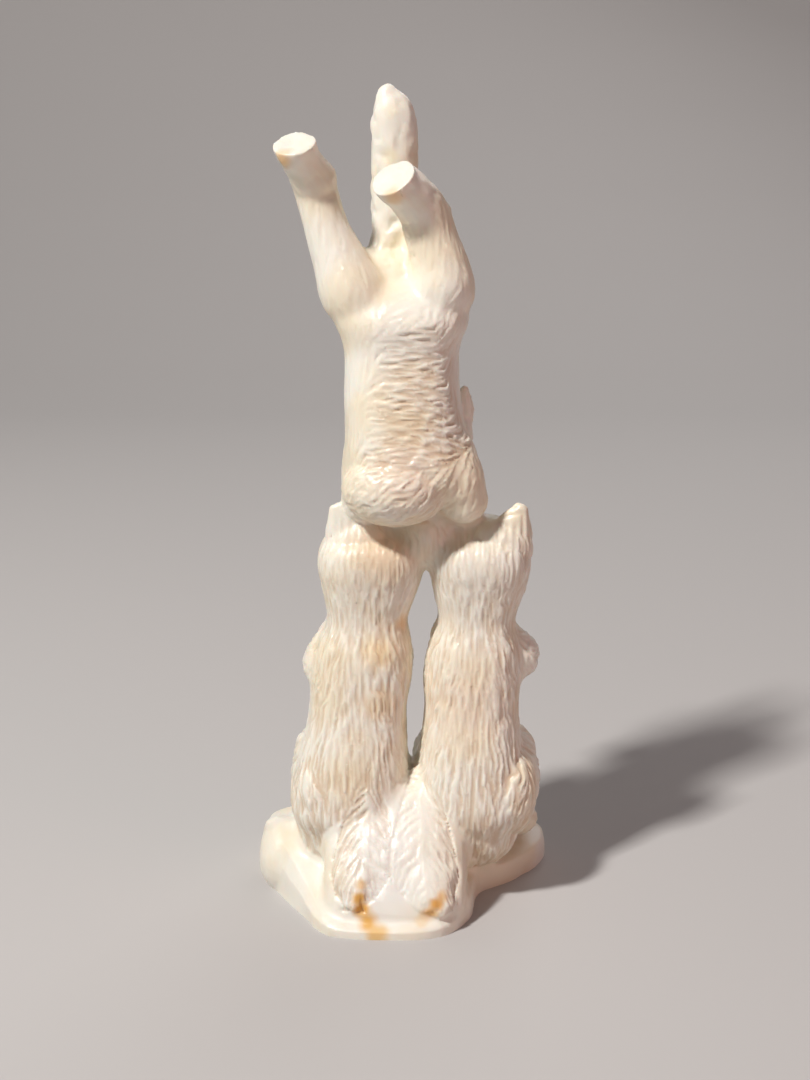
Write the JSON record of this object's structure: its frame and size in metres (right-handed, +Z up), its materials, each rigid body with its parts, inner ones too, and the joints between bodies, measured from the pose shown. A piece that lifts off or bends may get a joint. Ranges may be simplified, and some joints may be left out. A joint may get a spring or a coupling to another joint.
{
  "type": "cat figurine",
  "caption": "Small bone carving of cats: a pair sits up side by side on a low rock, and another does a handstand on their heads, hind legs and tail in the air.",
  "frame": {"origin": "on the flat underside of the rock, between the two seated cats", "axes": "+Z up, +Y the way the cats face, +X to the right as seen from behind them, which is the pictured side"},
  "size_m": [0.057, 0.0475, 0.1503],
  "materials": {
    "carved_bone": "satin"
  },
  "bodies": {
    "root": {"three_cats_carving": "carved_bone"}
  },
  "joints": []
}
